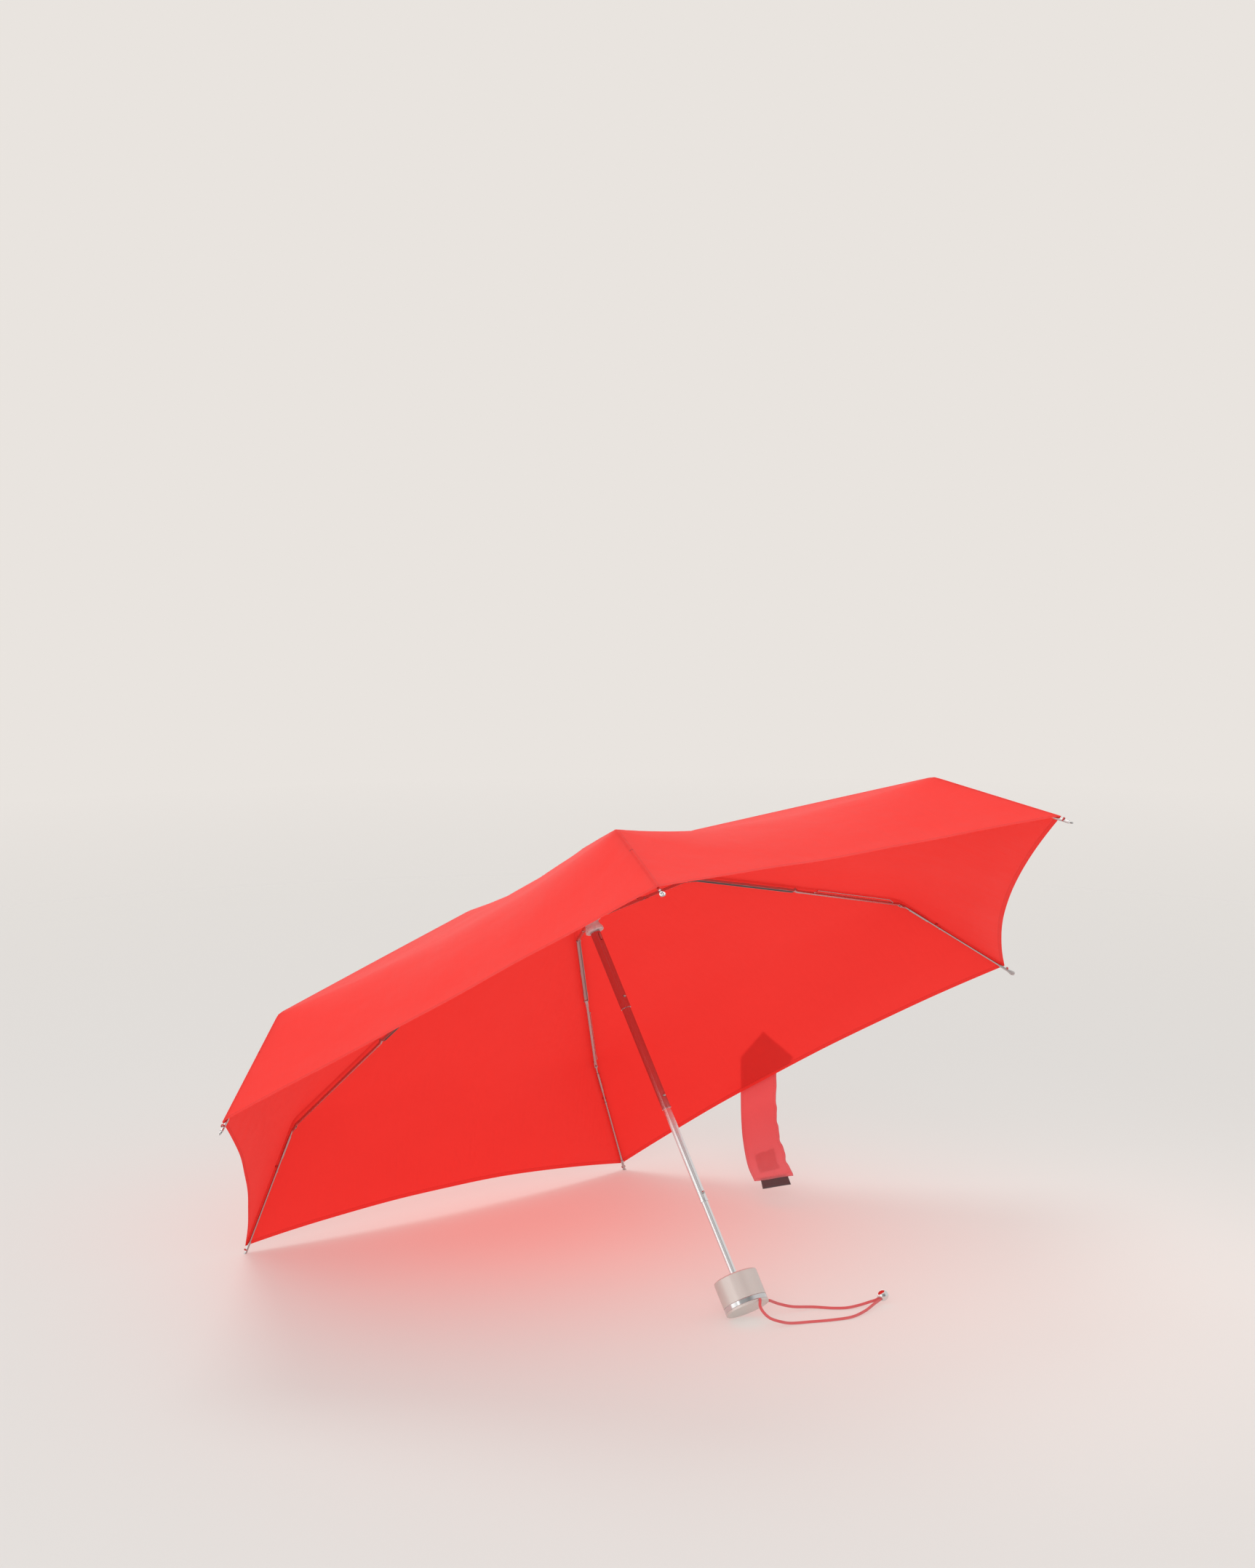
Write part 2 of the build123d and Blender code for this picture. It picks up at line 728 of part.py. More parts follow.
def make_wrist_cord():
    """One cord from the end cap to a U-turn in the bead and back."""
    near_out, far_out = [radial(angle) for angle in cord_angles]
    cord_start_r = 22.2
    # each strand drops from the edge of the cap, then runs along the ground
    near_path = [
        near_out * cord_start_r + Vector(0, 0, cord_z),
        Vector(3.4, 25.6, -2.6),
        Vector(3.4, 24.6, -11.0),
        Vector(-0.8, 24.2, -18.4),
        Vector(-9.9, 24.6, -24.0),
        on_ground(-22.5, 51.0, 2.4),
        on_ground(-41.1, 57.0, 1.5),
        on_ground(-57.6, 64.4, 1.5),
        on_ground(-75.8, 70.0, 1.9),
        on_ground(-93.4, 67.8, 3.4),
        on_ground(-109.6, 62.0, 5.6),
    ]
    far_path = [
        far_out * cord_start_r + Vector(0, 0, cord_z),
        Vector(-27.9, 3.6, -0.6),
        Vector(-35.1, 1.1, -2.9),
        Vector(-47.2, 1.8, -8.2),
        on_ground(-67.6, 26.5, 2.6),
        on_ground(-80.8, 38.0, 1.6),
        on_ground(-91.0, 46.6, 2.0),
        on_ground(-103.0, 50.5, 3.2),
        on_ground(-111.5, 54.0, 5.2),
    ]
    to_strand = bead_side * strand_off
    enter = bead_at - bead_dir * 6.5
    turn = bead_at - bead_dir * 0.6
    with BuildPart() as cord:
        with BuildLine():
            Spline(
                *near_path, enter - to_strand,
                tangents=(near_out, bead_dir), tangent_scalars=(1, 1),
            )
            Line(enter - to_strand, turn - to_strand)
            ThreePointArc(turn - to_strand, turn + bead_dir * strand_off, turn + to_strand)
            Line(turn + to_strand, enter + to_strand)
            Spline(
                enter + to_strand, *reversed(far_path),
                tangents=(bead_dir * -1, far_out * -1), tangent_scalars=(1, 1),
            )
        with BuildSketch(Plane(origin=near_path[0], z_dir=near_out)):
            Circle(cord_r)
        sweep(transition=Transition.ROUND)
    save(cord.part, "wrist_cord")


def make_cord_bead():
    """Ball over the turn of the cord, with a blind slot on the cord side."""
    with BuildPart() as bead:
        with BuildSketch(Plane(origin=bead_at, x_dir=bead_dir, z_dir=bead_side)):
            with BuildLine():
                CenterArc((0, 0), bead_r, 0, 180)
                Line((-bead_r, 0), (bead_r, 0))
            make_face()
        revolve(axis=Axis(bead_at, bead_dir))
        slot_plane = Plane(origin=bead_at, x_dir=bead_side, z_dir=bead_dir)
        with BuildSketch(slot_plane.offset(-7.0)):
            SlotCenterToCenter(2 * strand_off, 2 * cord_r + 0.3)
        extrude(amount=9.5, mode=Mode.SUBTRACT)
    save(bead.part, "cord_bead")


# ---- build --------------------------------------------------------------
make_handle_end_cap()
make_handle_band()
make_handle_sleeve()
make_handle_core()
make_shaft_pin()
for n in tube_r:
    make_tube(n)
for n in button_z:
    make_spring_button(n)
make_runner()
make_runner_catch()
make_crown()
make_crown_wire()
make_top_cap()
for k in range(1, rib_count + 1):
    make_top_rib(k)
    make_strut(k)
    make_second_rib(k)
    make_third_rib(k)
    make_control_wire(k)
    make_outer_rib(k)
make_canopy()
make_tie_strap()
make_strap_hook_patch()
make_strap_tag()
make_strap_anchor()
make_wrist_cord()
make_cord_bead()
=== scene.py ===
# An open six-rib umbrella lying on a pale floor. Its shaft runs along z, with the handle end
# near the origin and the crown at z = 428 mm; rib 1 points along +x. It rests tilted, so UP
# is the way up in the umbrella's own frame. Sizes are in mm unless a comment says otherwise.
import math

import bpy
import numpy as np
from mathutils import Matrix, Vector
from mathutils.bvhtree import BVHTree


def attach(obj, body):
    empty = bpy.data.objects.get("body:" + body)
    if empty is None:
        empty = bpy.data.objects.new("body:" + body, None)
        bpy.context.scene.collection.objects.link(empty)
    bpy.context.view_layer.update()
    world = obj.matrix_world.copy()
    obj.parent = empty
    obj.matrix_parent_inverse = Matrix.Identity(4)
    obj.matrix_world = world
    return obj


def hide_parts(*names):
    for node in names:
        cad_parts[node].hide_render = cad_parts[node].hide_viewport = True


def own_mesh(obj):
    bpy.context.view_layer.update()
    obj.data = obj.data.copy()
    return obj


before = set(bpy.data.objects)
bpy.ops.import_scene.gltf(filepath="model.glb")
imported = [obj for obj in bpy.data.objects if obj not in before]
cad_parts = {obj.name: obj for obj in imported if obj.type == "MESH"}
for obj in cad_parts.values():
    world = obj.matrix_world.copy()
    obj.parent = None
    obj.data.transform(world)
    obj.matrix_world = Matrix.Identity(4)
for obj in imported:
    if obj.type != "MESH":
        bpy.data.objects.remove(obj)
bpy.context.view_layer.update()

MM = 0.001
RIBS = 6


def vec(*parts):
    return np.array(parts, float)


def unit(vector):
    return vector / np.linalg.norm(vector)


AXIS = vec(0, 0, 1)
RESTING_UP = vec(0, 0.57618, 0.81732)
UP = unit(RESTING_UP)
FLOOR_X = vec(1, 0, 0)
FLOOR_Y = np.cross(RESTING_UP, FLOOR_X)
REST_AT = vec(0, -20.3, 0)                  # where the handle rim touches the floor
CAM_RIGHT = unit(vec(-0.78951, 0.49437, -0.36368))
CAM_DOWN = unit(vec(0.12430, -0.45148, -0.88358))
CAM_FORWARD = unit(vec(-0.60101, -0.74280, 0.29500))
CAM_AT = vec(2524.67, 3242.63, -768.25)


# ------------------------------------------------------------------ mesh helpers
def add_object(name, data):
    ob = bpy.data.objects.new(name, data)
    bpy.context.scene.collection.objects.link(ob)
    return ob


def new_mesh(name, verts, faces, material):
    """Smooth mesh object from places in mm."""
    mesh = bpy.data.meshes.new(name)
    mesh.from_pydata((np.asarray(verts) * MM).tolist(), [], faces)
    mesh.update()
    mesh.polygons.foreach_set("use_smooth", [True] * len(mesh.polygons))
    mesh.materials.append(material)
    return add_object(name, mesh)


def set_attributes(ob, **values):
    for name, numbers in values.items():
        layer = ob.data.attributes.new(name, "FLOAT", "POINT")
        layer.data.foreach_set("value", np.asarray(numbers, np.float32))


def grid_faces(rows, cols, rows_first=False):
    """Quads of a grid of rows x cols cells; rows_first turns their normals over."""
    down = cols + 1
    one, two = (down, 1) if rows_first else (1, down)
    corners = [row * down + col for row in range(rows) for col in range(cols)]
    return [(at, at + one, at + one + two, at + two) for at in corners]


def squash(ob):
    """Give a piece its own copy of its mesh."""
    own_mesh(ob)


# ---------------------------------------------------------------- shader helpers
class Nodes:
    """Builds one node tree. Any input takes a plain value or another node's socket."""

    def __init__(self, owner, output):
        owner.use_nodes = True
        self.owner = owner
        self.tree = owner.node_tree
        self.tree.nodes.clear()
        self.output = self.add(output)

    def feed(self, socket, value):
        if hasattr(value, "is_output"):
            self.tree.links.new(value, socket)
        else:
            socket.default_value = value

    def add(self, kind, inputs=None, **settings):
        node = self.tree.nodes.new(kind)
        for key, value in settings.items():
            setattr(node, key, value)
        for key, value in (inputs or {}).items():
            self.feed(node.inputs[key], value)
        return node

    def math(self, operation, *values, clamp=False):
        return self.add("ShaderNodeMath", dict(enumerate(values)),
                        operation=operation, use_clamp=clamp).outputs[0]

    def plus(self, first, second):
        return self.math("ADD", first, second)

    def minus(self, first, second):
        return self.math("SUBTRACT", first, second)

    def times(self, first, second):
        return self.math("MULTIPLY", first, second)

    def largest(self, first, second):
        return self.math("MAXIMUM", first, second)

    def vector_math(self, operation, *values, result="Vector"):
        node = self.add("ShaderNodeVectorMath", dict(enumerate(values)), operation=operation)
        return node.outputs[result]

    def dot(self, first, second):
        return self.vector_math("DOT_PRODUCT", first, second, result="Value")

    def mix(self, share, first, second):
        # sockets 0, 6 and 7 are the factor and the two colours
        return self.add("ShaderNodeMix", {0: share, 6: first, 7: second},
                        data_type="RGBA").outputs[2]

    def attribute(self, name):
        return self.add("ShaderNodeAttribute", attribute_name=name).outputs["Fac"]

    def coords(self):
        return self.add("ShaderNodeTexCoord").outputs["Object"]

    def noise(self, vector, scale, detail=2.0, roughness=0.5):
        inputs = {"Scale": scale, "Detail": detail, "Roughness": roughness, "Vector": vector}
        return self.add("ShaderNodeTexNoise", inputs).outputs["Fac"]

    def ramp(self, value, low, high, at_low=0.0, at_high=1.0, curve="LINEAR"):
        inputs = {"From Min": low, "From Max": high, "To Min": at_low, "To Max": at_high,
                  "Value": value}
        return self.add("ShaderNodeMapRange", inputs, interpolation_type=curve).outputs[0]

    def fade(self, value, start, end):
        """1 up to start, 0 from end on."""
        return self.ramp(value, start, end, at_low=1.0, at_high=0.0)

    def bumps(self, *layers):
        """Stack of bumps, each (height, distance in m, strength)."""
        normal = None
        for height, distance, strength in layers:
            inputs = {"Strength": strength, "Distance": distance, "Height": height}
            if normal is not None:
                inputs["Normal"] = normal
            normal = self.add("ShaderNodeBump", inputs).outputs[0]
        return normal

    def bsdf(self, **inputs):
        named = {key.replace("_", " "): value for key, value in inputs.items()}
        return self.add("ShaderNodeBsdfPrincipled", named).outputs[0]

    def mix_shader(self, share, first, second):
        return self.add("ShaderNodeMixShader", {0: share, 1: first, 2: second}).outputs[0]

    def lit_through(self, surface, share, **inputs):
        """Let a share of the light through a surface."""
        through = self.add("ShaderNodeBsdfTranslucent", inputs).outputs[0]
        return self.mix_shader(share, surface, through)

    def done(self, shader):
        self.feed(self.output.inputs["Surface"], shader)
        return self.owner

    # patterns, all with lengths in m
    def wave(self, value, pitch):
        return self.math("SINE", self.times(value, 2 * math.pi / pitch))

    def stitches(self, run, from_edge, inset, solid, gone):
        """Dashes on a line at inset from an edge, full to solid off it and gone by gone."""
        dash = self.ramp(self.wave(run, pitch=0.0026), low=-0.35, high=0.05)
        off_line = self.math("ABSOLUTE", self.minus(from_edge, inset))
        return self.times(dash, self.fade(off_line, solid, gone))

    def thread_height(self, across, along, pitch, stitch):
        """Plain weave with the stitches sunk into it."""
        weave = self.times(self.wave(across, pitch), self.wave(along, pitch))
        return self.minus(self.times(weave, 0.5), self.times(stitch, 2.0))

    def streaks(self, first, first_scale, second, second_scale, detail, roughness):
        """Noise stretched differently along two coordinates."""
        inputs = {0: self.times(first, first_scale), 1: self.times(second, second_scale)}
        vector = self.add("ShaderNodeCombineXYZ", inputs).outputs[0]
        return self.noise(vector, scale=1.0, detail=detail, roughness=roughness)


def new_material(name):
    return Nodes(bpy.data.materials.new(name), "ShaderNodeOutputMaterial")


def darker(colour, factor):
    return tuple(part * factor for part in colour[:3]) + (1,)


# --------------------------------------------------------------------- materials
WEAVE_PITCH = 0.00042                       # m


def canopy_material():
    m = new_material("canopy_cloth")
    across, along = m.attribute("pu"), m.attribute("pv")
    from_hem, from_rib = m.attribute("hem"), m.attribute("rib")
    place = m.coords()
    slub = m.noise(place, scale=900.0, detail=3.0, roughness=0.6)
    soft = m.noise(place, scale=9.0, detail=3.0, roughness=0.55)
    # doubled cloth in the hem fold and in the seam along each rib
    hem_fold = m.fade(from_hem, start=0.0042, end=0.0046)
    seam = m.fade(from_rib, start=0.0022, end=0.0032)
    double = m.largest(m.times(hem_fold, 0.55), m.times(seam, 0.42))
    stitch = m.largest(
        m.stitches(across, from_hem, inset=0.0036, solid=0.00022, gone=0.00042),
        m.stitches(along, from_rib, inset=0.0014, solid=0.00020, gone=0.00038))
    # puckers that run out from the seams and the hem
    rib_pucker = m.times(m.streaks(along, 70.0, from_rib, 26.0, detail=2.0, roughness=0.5),
                         m.fade(from_rib, start=0.0, end=0.045))
    hem_pucker = m.times(m.streaks(across, 60.0, from_hem, 24.0, detail=2.0, roughness=0.5),
                         m.fade(from_hem, start=0.0, end=0.03))
    # broad unevenness, and faint creases along the panel
    stretched = m.vector_math("MULTIPLY", place, (1.0, 1.0, 1.6))
    broad = m.noise(stretched, scale=13.0, detail=3.0, roughness=0.5)
    crease = m.streaks(across, 55.0, along, 7.0, detail=3.0, roughness=0.55)
    # height, distance, strength
    normal = m.bumps(
        (broad, 0.010, 0.30),
        (crease, 0.0022, 0.40),
        (rib_pucker, 0.0012, 0.45),
        (hem_pucker, 0.0010, 0.35),
        (double, 0.00025, 0.8),
        (m.thread_height(across, along, WEAVE_PITCH, stitch), 0.00006, 0.5),
        (slub, 0.00008, 0.35))
    base = m.mix(m.times(soft, 0.25), (0.97, 0.060, 0.050, 1), (0.91, 0.052, 0.045, 1))
    base = m.mix(m.times(stitch, 0.55), base, (0.70, 0.035, 0.03, 1))
    surface = m.bsdf(Base_Color=base, Roughness=0.55, Metallic=0.0, Normal=normal,
                     Specular_IOR_Level=0.20, Sheen_Weight=0.06, Sheen_Roughness=0.4)
    # colour of light that comes through, deeper where the cloth is double
    through = m.mix(double, (0.95, 0.035, 0.028, 1), (0.66, 0.012, 0.010, 1))
    through = m.mix(m.times(slub, 0.10), through, (0.80, 0.02, 0.018, 1))
    uneven = m.ramp(broad, low=0.40, high=0.66, at_low=0.0, at_high=0.16)
    through = m.mix(uneven, through, (0.80, 0.022, 0.018, 1))
    return m.done(m.lit_through(surface, share=0.46, Color=through, Normal=normal))


def tape_material(name, colour, through, pitch=WEAVE_PITCH, painted_light_end_colour=None):
    """Woven tape whose colour eases from the sewn end to the free end; a lighter free-end
    colour is painted light.
    """
    m = new_material(name)
    across, along, from_edge = m.attribute("pu"), m.attribute("pv"), m.attribute("hem")
    place = m.coords()
    slub = m.noise(place, scale=700.0, detail=3.0, roughness=0.6)
    shade = m.noise(place, scale=26.0)
    stitch = m.stitches(m.plus(across, along), from_edge,
                        inset=0.0028, solid=0.0002, gone=0.0004)
    # height, distance, strength
    normal = m.bumps((m.thread_height(across, along, pitch, stitch), 0.00007, 0.6),
                     (slub, 0.0001, 0.4))
    # painted light: the free end may be painted lighter than the sewn end
    tone = m.mix(m.ramp(along, low=0.010, high=0.095), colour, painted_light_end_colour or colour)
    fleck = m.plus(m.times(slub, 0.3), m.times(shade, 0.12))
    base = m.mix(fleck, tone, darker(colour, 0.66))
    base = m.mix(m.times(stitch, 0.5), base, darker(colour, 0.6))
    surface = m.bsdf(Base_Color=base, Roughness=0.62, Metallic=0.0, Normal=normal,
                     Specular_IOR_Level=0.25, Sheen_Weight=0.15)
    return m.done(m.lit_through(surface, share=through, Color=tone, Normal=normal))


def metal_material(name, colour, roughness, grain, wear, metallic=1.0, relief=0.00004):
    """Metal streaked by the grain scales; wear spreads the roughness, relief is in m."""
    m = new_material(name)
    place = m.coords()
    streak = m.noise(m.vector_math("MULTIPLY", place, grain),
                     scale=14.0, detail=4.0, roughness=0.6)
    smudge = m.noise(place, scale=55.0, detail=3.0, roughness=0.55)
    rough = m.math("ADD", m.times(smudge, wear), roughness - wear * 0.5, clamp=True)
    rough = m.plus(rough, m.times(streak, 0.08))
    base = m.mix(m.times(streak, 0.5), colour, darker(colour, 0.82))
    normal = m.bumps((streak, relief, 0.5))
    return m.done(m.bsdf(Base_Color=base, Roughness=rough, Metallic=metallic, Normal=normal))


def pearl_material():
    m = new_material("handle_pearl")
    place = m.coords()
    flake = m.add("ShaderNodeTexVoronoi", {"Scale": 5200.0, "Vector": place})
    flake = flake.outputs["Distance"]
    smudge = m.noise(place, scale=45.0, detail=3.0)
    base = m.mix(m.times(smudge, 0.35), (0.575, 0.56, 0.53, 1), (0.52, 0.50, 0.47, 1))
    glint = m.ramp(flake, low=0.0, high=0.55, at_low=0.35, at_high=0.0)
    base = m.mix(glint, base, (0.92, 0.88, 0.84, 1))
    rough = m.ramp(smudge, low=0.3, high=0.7, at_low=0.30, at_high=0.38)
    return m.done(m.bsdf(Base_Color=base, Roughness=rough, Metallic=0.30,
                         Normal=m.bumps((flake, 0.00001, 0.25)),
                         Coat_Weight=0.25, Coat_Roughness=0.18))


def frosted_material():
    m = new_material("runner_frosted")
    cloud = m.noise(m.coords(), scale=160.0, detail=3.0)
    surface = m.bsdf(Base_Color=(0.86, 0.85, 0.85, 1), Roughness=0.38, Metallic=0.0,
                     Normal=m.bumps((cloud, 0.00015, 0.25)), Specular_IOR_Level=0.5)
    return m.done(m.lit_through(surface, share=0.45, Color=(0.92, 0.90, 0.90, 1)))


def plastic_material(name, colour):
    m = new_material(name)
    place = m.coords()
    grain = m.noise(place, scale=1600.0)
    cloud = m.noise(place, scale=70.0, detail=3.0)
    base = m.mix(m.times(cloud, 0.3), colour, darker(colour, 0.85))
    rough = m.ramp(cloud, low=0.3, high=0.7, at_low=0.37, at_high=0.48)
    return m.done(m.bsdf(Base_Color=base, Roughness=rough, Metallic=0.0,
                         Normal=m.bumps((grain, 0.00003, 0.4))))


def cord_material():
    """Braid: two sets of plaits that spiral opposite ways."""
    m = new_material("cord_braid")
    around, along = m.attribute("pu"), m.attribute("pv")
    plait_pitch = 0.0016                    # m
    plaits = [
        m.math("SINE", m.math(way, m.times(along, 2 * math.pi / plait_pitch),
                              m.times(around, 8.0)))
        for way in ("ADD", "SUBTRACT")]
    braid = m.largest(*plaits)
    fuzz = m.noise(m.coords(), scale=2600.0, detail=3.0, roughness=0.6)
    # painted shade: the grooves between the plaits are coloured darker and the crests lighter
    base = m.mix(m.ramp(braid, low=-0.2, high=0.9),
                 (0.56, 0.075, 0.085, 1), (0.80, 0.15, 0.155, 1))
    return m.done(m.bsdf(Base_Color=base, Roughness=0.7, Metallic=0.0,
                         Normal=m.bumps((braid, 0.00018, 0.8), (fuzz, 0.0001, 0.5)),
                         Sheen_Weight=0.3, Specular_IOR_Level=0.25))


def floor_material():
    m = new_material("floor_paper")
    place = m.coords()
    soft = m.noise(place, scale=3.0, detail=3.0)
    fibre = m.noise(place, scale=420.0, detail=3.0, roughness=0.6)
    base = m.mix(m.times(soft, 0.2), (0.385, 0.38, 0.375, 1), (0.37, 0.365, 0.36, 1))
    surface = m.bsdf(Base_Color=base, Roughness=0.85, Metallic=0.0,
                     Normal=m.bumps((fibre, 0.0002, 0.2)), Specular_IOR_Level=0.10)

    def spot(x, y, width):
        """Soft round patch on the sheet, 1 in the middle; metres."""
        off = m.vector_math("SUBTRACT", place, (x, y, 0))
        return m.math("EXPONENT", m.times(m.dot(off, off), -0.5 / width ** 2))

    # painted light: the sheet glows evenly as fill, with a painted pink shadow under the canopy
    # (more red, less green and blue) standing in for light come down through the cloth, and a
    # painted pool of light beside it
    under = spot(x=-0.030, y=-0.108, width=0.20)
    painted_light_pool = spot(x=-0.20, y=0.40, width=0.30)
    # for red, green and blue: flat level, share of the painted shadow under the canopy, share
    # of the painted light pool beside it
    levels = ((0.325, 0.184, 0.140), (0.3136, -0.121, 0.133), (0.302, -0.129, 0.119))
    glow = {
        channel: m.plus(m.math("MULTIPLY_ADD", under, of_under, flat),
                        m.times(painted_light_pool, of_painted_light_pool))
        for channel, (flat, of_under, of_painted_light_pool) in enumerate(levels)}
    glow = m.add("ShaderNodeCombineColor", glow).outputs[0]
    fill = m.add("ShaderNodeEmission", {"Color": glow}).outputs[0]
    surface = m.add("ShaderNodeAddShader", {0: surface, 1: fill}).outputs[0]
    # the sheet clears far out, when seen edge on and from below
    distance = m.vector_math("LENGTH", place, result="Value")
    far = m.ramp(distance, low=0.9, high=2.4)
    geometry = m.add("ShaderNodeNewGeometry").outputs
    facing = m.dot(geometry["Incoming"], geometry["True Normal"])
    edge_on = m.fade(m.math("ABSOLUTE", facing), start=0.05, end=0.13)
    hide = m.largest(m.largest(far, edge_on), geometry["Backfacing"])
    clear = m.add("ShaderNodeBsdfTransparent").outputs[0]
    return m.done(m.mix_shader(hide, surface, clear))


CLOTH = canopy_material()
# painted light: the strap's colour lightens towards its free end
STRAP = tape_material("strap_cloth", (0.97, 0.215, 0.225, 1), through=0.50,
                      painted_light_end_colour=(0.96, 0.44, 0.47, 1))
SEWN = tape_material("sewn_cloth", (0.82, 0.045, 0.055, 1), through=0.20)
TAG = tape_material("tag_tape", (0.085, 0.100, 0.105, 1), through=0.0, pitch=0.0007)
HOOK = tape_material("hook_tape", (0.90, 0.24, 0.25, 1), through=0.35, pitch=0.0011)
THREAD = tape_material("sewing_thread", (0.62, 0.03, 0.03, 1), through=0.0)
STEEL = metal_material("rib_steel", (0.56, 0.55, 0.55, 1), roughness=0.24,
                       grain=(30, 30, 30), wear=0.12)
GREY = metal_material("channel_grey", (0.50, 0.49, 0.49, 1), roughness=0.32,
                      grain=(40, 40, 40), wear=0.14, metallic=0.9)
# painted light and shade: the upper tubes, shaded by the canopy, get a darker copy of the tube
# metal and the lower tubes a brighter one
TUBE = metal_material("tube_painted_shade", (0.54, 0.54, 0.555, 1), roughness=0.13,
                      grain=(90, 90, 2), wear=0.08, relief=0.00002)
TUBE_LOW = metal_material("tube_low_painted_light", (0.86, 0.86, 0.87, 1), roughness=0.12,
                          grain=(90, 90, 2), wear=0.07, relief=0.00002)
MIRROR = metal_material("bead_mirror", (0.78, 0.78, 0.78, 1), roughness=0.035,
                        grain=(20, 20, 20), wear=0.03, relief=0.000004)
CHROME = metal_material("band_chrome", (0.68, 0.68, 0.69, 1), roughness=0.06,
                        grain=(20, 20, 60), wear=0.06, relief=0.00001)
PEARL = pearl_material()
FROST = frosted_material()
WHITE = plastic_material("crown_plastic", (0.82, 0.82, 0.81, 1))
CORE = plastic_material("core_plastic", (0.62, 0.60, 0.57, 1))
CORD = cord_material()

NODE_MATERIALS = {
    "tube_3": TUBE_LOW, "tube_4": TUBE_LOW,
    "handle_sleeve": PEARL, "handle_end_cap": PEARL, "handle_core": CORE,
    "handle_band": CHROME, "top_cap": CHROME,
    "cord_bead": MIRROR, "crown": WHITE, "runner": FROST,
}


def node_material(name):
    if name in NODE_MATERIALS:
        return NODE_MATERIALS[name]
    if name.startswith("tube_"):
        return TUBE
    return GREY if name.startswith("second_rib") else STEEL


for name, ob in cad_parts.items():
    ob.data.materials.clear()
    ob.data.materials.append(node_material(name))

# ------------------------------------------------------------------------ canopy
# line of the cloth along a rib: radius, z
RIDGE = np.array([(0.0, 428.4), (16.0, 428.1), (86.0, 422.4), (124.0, 418.9),
                  (240.0, 387.4), (357.0, 355.2), (450.0, 268.3)])
RING_RADII = (3.4, 128.0, 240.0, 357.6, 450.0)   # bounds of crown, inner, middle, outer
RING_STEPS = (24, 20, 22, 24)                    # rows of cloth in each ring
ROW_CUTS = np.cumsum((0, *RING_STEPS)).tolist()
ROW_RADII = np.concatenate([RING_RADII[:1]] + [
    np.linspace(start, end, steps + 1)[1:]
    for start, end, steps in zip(RING_RADII, RING_RADII[1:], RING_STEPS)])
COLS = 48                                        # columns from rib to rib
MID_COL = COLS // 2
GORES = 4                                        # crown pieces per panel
HEM_RISE = 17.0                                  # how far the hem curves in between tips
HEM_RISES = {3: 13.5, 4: 14.0, 6: 8.0}           # panels that differ
# sag in the middle of a panel: radius, depth
SAG = np.array([(0, 0), (60, 1.2), (128, 3.5), (240, 8.5), (357, 14.0), (420, 14.0),
                (450, 12.0)])
# share of that sag kept in panel 6: radius, share
TIGHT_SAG = np.array([(0, 1.0), (240, 0.9), (360, 0.7), (450, 0.55)])


def rib_directions(rib):
    """Outward and sideways directions of a rib."""
    turn = math.radians(360 // RIBS * (rib - 1))
    return vec(math.cos(turn), math.sin(turn), 0), vec(-math.sin(turn), math.cos(turn), 0)


def ridge_z(radius):
    """Height of the ridge, carried on straight past the tip."""
    (inner_r, inner_z), (tip_r, tip_z) = RIDGE[-2:]
    beyond = tip_z - (radius - tip_r) * (inner_z - tip_z) / (tip_r - inner_r)
    return np.where(radius > tip_r, beyond, np.interp(radius, *RIDGE.T))


def cloth_z(radius, rounding):
    """Ridge height averaged over +-rounding, which rounds the bends."""
    offsets = np.linspace(-1, 1, 41)
    return ridge_z(radius[..., None] + rounding[..., None] * offsets).mean(-1)


def make_panel(number):
    """Grids over the cloth from rib `number` to the next: place, normal and attributes."""
    first = rib_directions(number)[0]
    second = rib_directions(number + 1)[0]
    middle = unit(first + second)
    u = np.linspace(0, 1, COLS + 1)[None, :]
    bow = 4 * u * (1 - u)
    radius = ROW_RADII[:, None] + 0 * u
    ring_start, ring_end = RING_RADII[-2:]
    outer = np.clip((radius - ring_start) / (ring_end - ring_start), 0, 1)
    radius = radius - HEM_RISES.get(number, HEM_RISE) * bow * outer
    z = cloth_z(radius, rounding=3.0 + 52.0 * bow * np.clip(radius / 150.0, 0, 1))
    place = ((1 - u)[..., None] * first + u[..., None] * second) * radius[..., None]
    place = place + z[..., None] * AXIS
    # the cloth sags square to its slope
    run = np.gradient(radius * math.cos(math.pi / RIBS), axis=0)
    slope = np.gradient(z, axis=0) / np.maximum(run, 1e-3)
    steep = np.sqrt(1 + slope * slope)
    square = (-slope / steep)[..., None] * middle + (1 / steep)[..., None] * AXIS
    sag = np.interp(radius, *SAG.T) * bow
    if number == 6:
        sag = sag * np.interp(radius, *TIGHT_SAG.T)
    # slight unevenness, different in each panel
    phase = 1.7 * number
    long_ripple = 0.55 * np.sin(u * 9.0 + phase) * np.sin(radius / 47.0 + 1.3 * phase)
    short_ripple = 0.35 * np.sin(u * 21.0 + radius / 31.0 + phase)
    ripple = (long_ripple + short_ripple) * bow * np.clip(radius / 120.0, 0, 1)
    place = place - (sag + ripple)[..., None] * square
    steps = np.linalg.norm(np.diff(place, axis=0), axis=-1)
    along = np.concatenate([np.zeros((1, COLS + 1)), np.cumsum(steps, axis=0)])
    normal = np.cross(np.gradient(place, axis=0), np.gradient(place, axis=1))
    length = np.linalg.norm(normal, axis=-1, keepdims=True)
    attributes = {
        "pu": (u - 0.5) * radius,                # across, from the middle
        "pv": along,                             # outward, from the crown
        "hem": along[-1:, :] - along,            # distance from the hem
        "rib": np.minimum(u, 1 - u) * radius,    # distance from the nearer rib
    }
    return place, normal / np.maximum(length, 1e-9), attributes


PANELS = {number: make_panel(number) for number in range(1, RIBS + 1)}


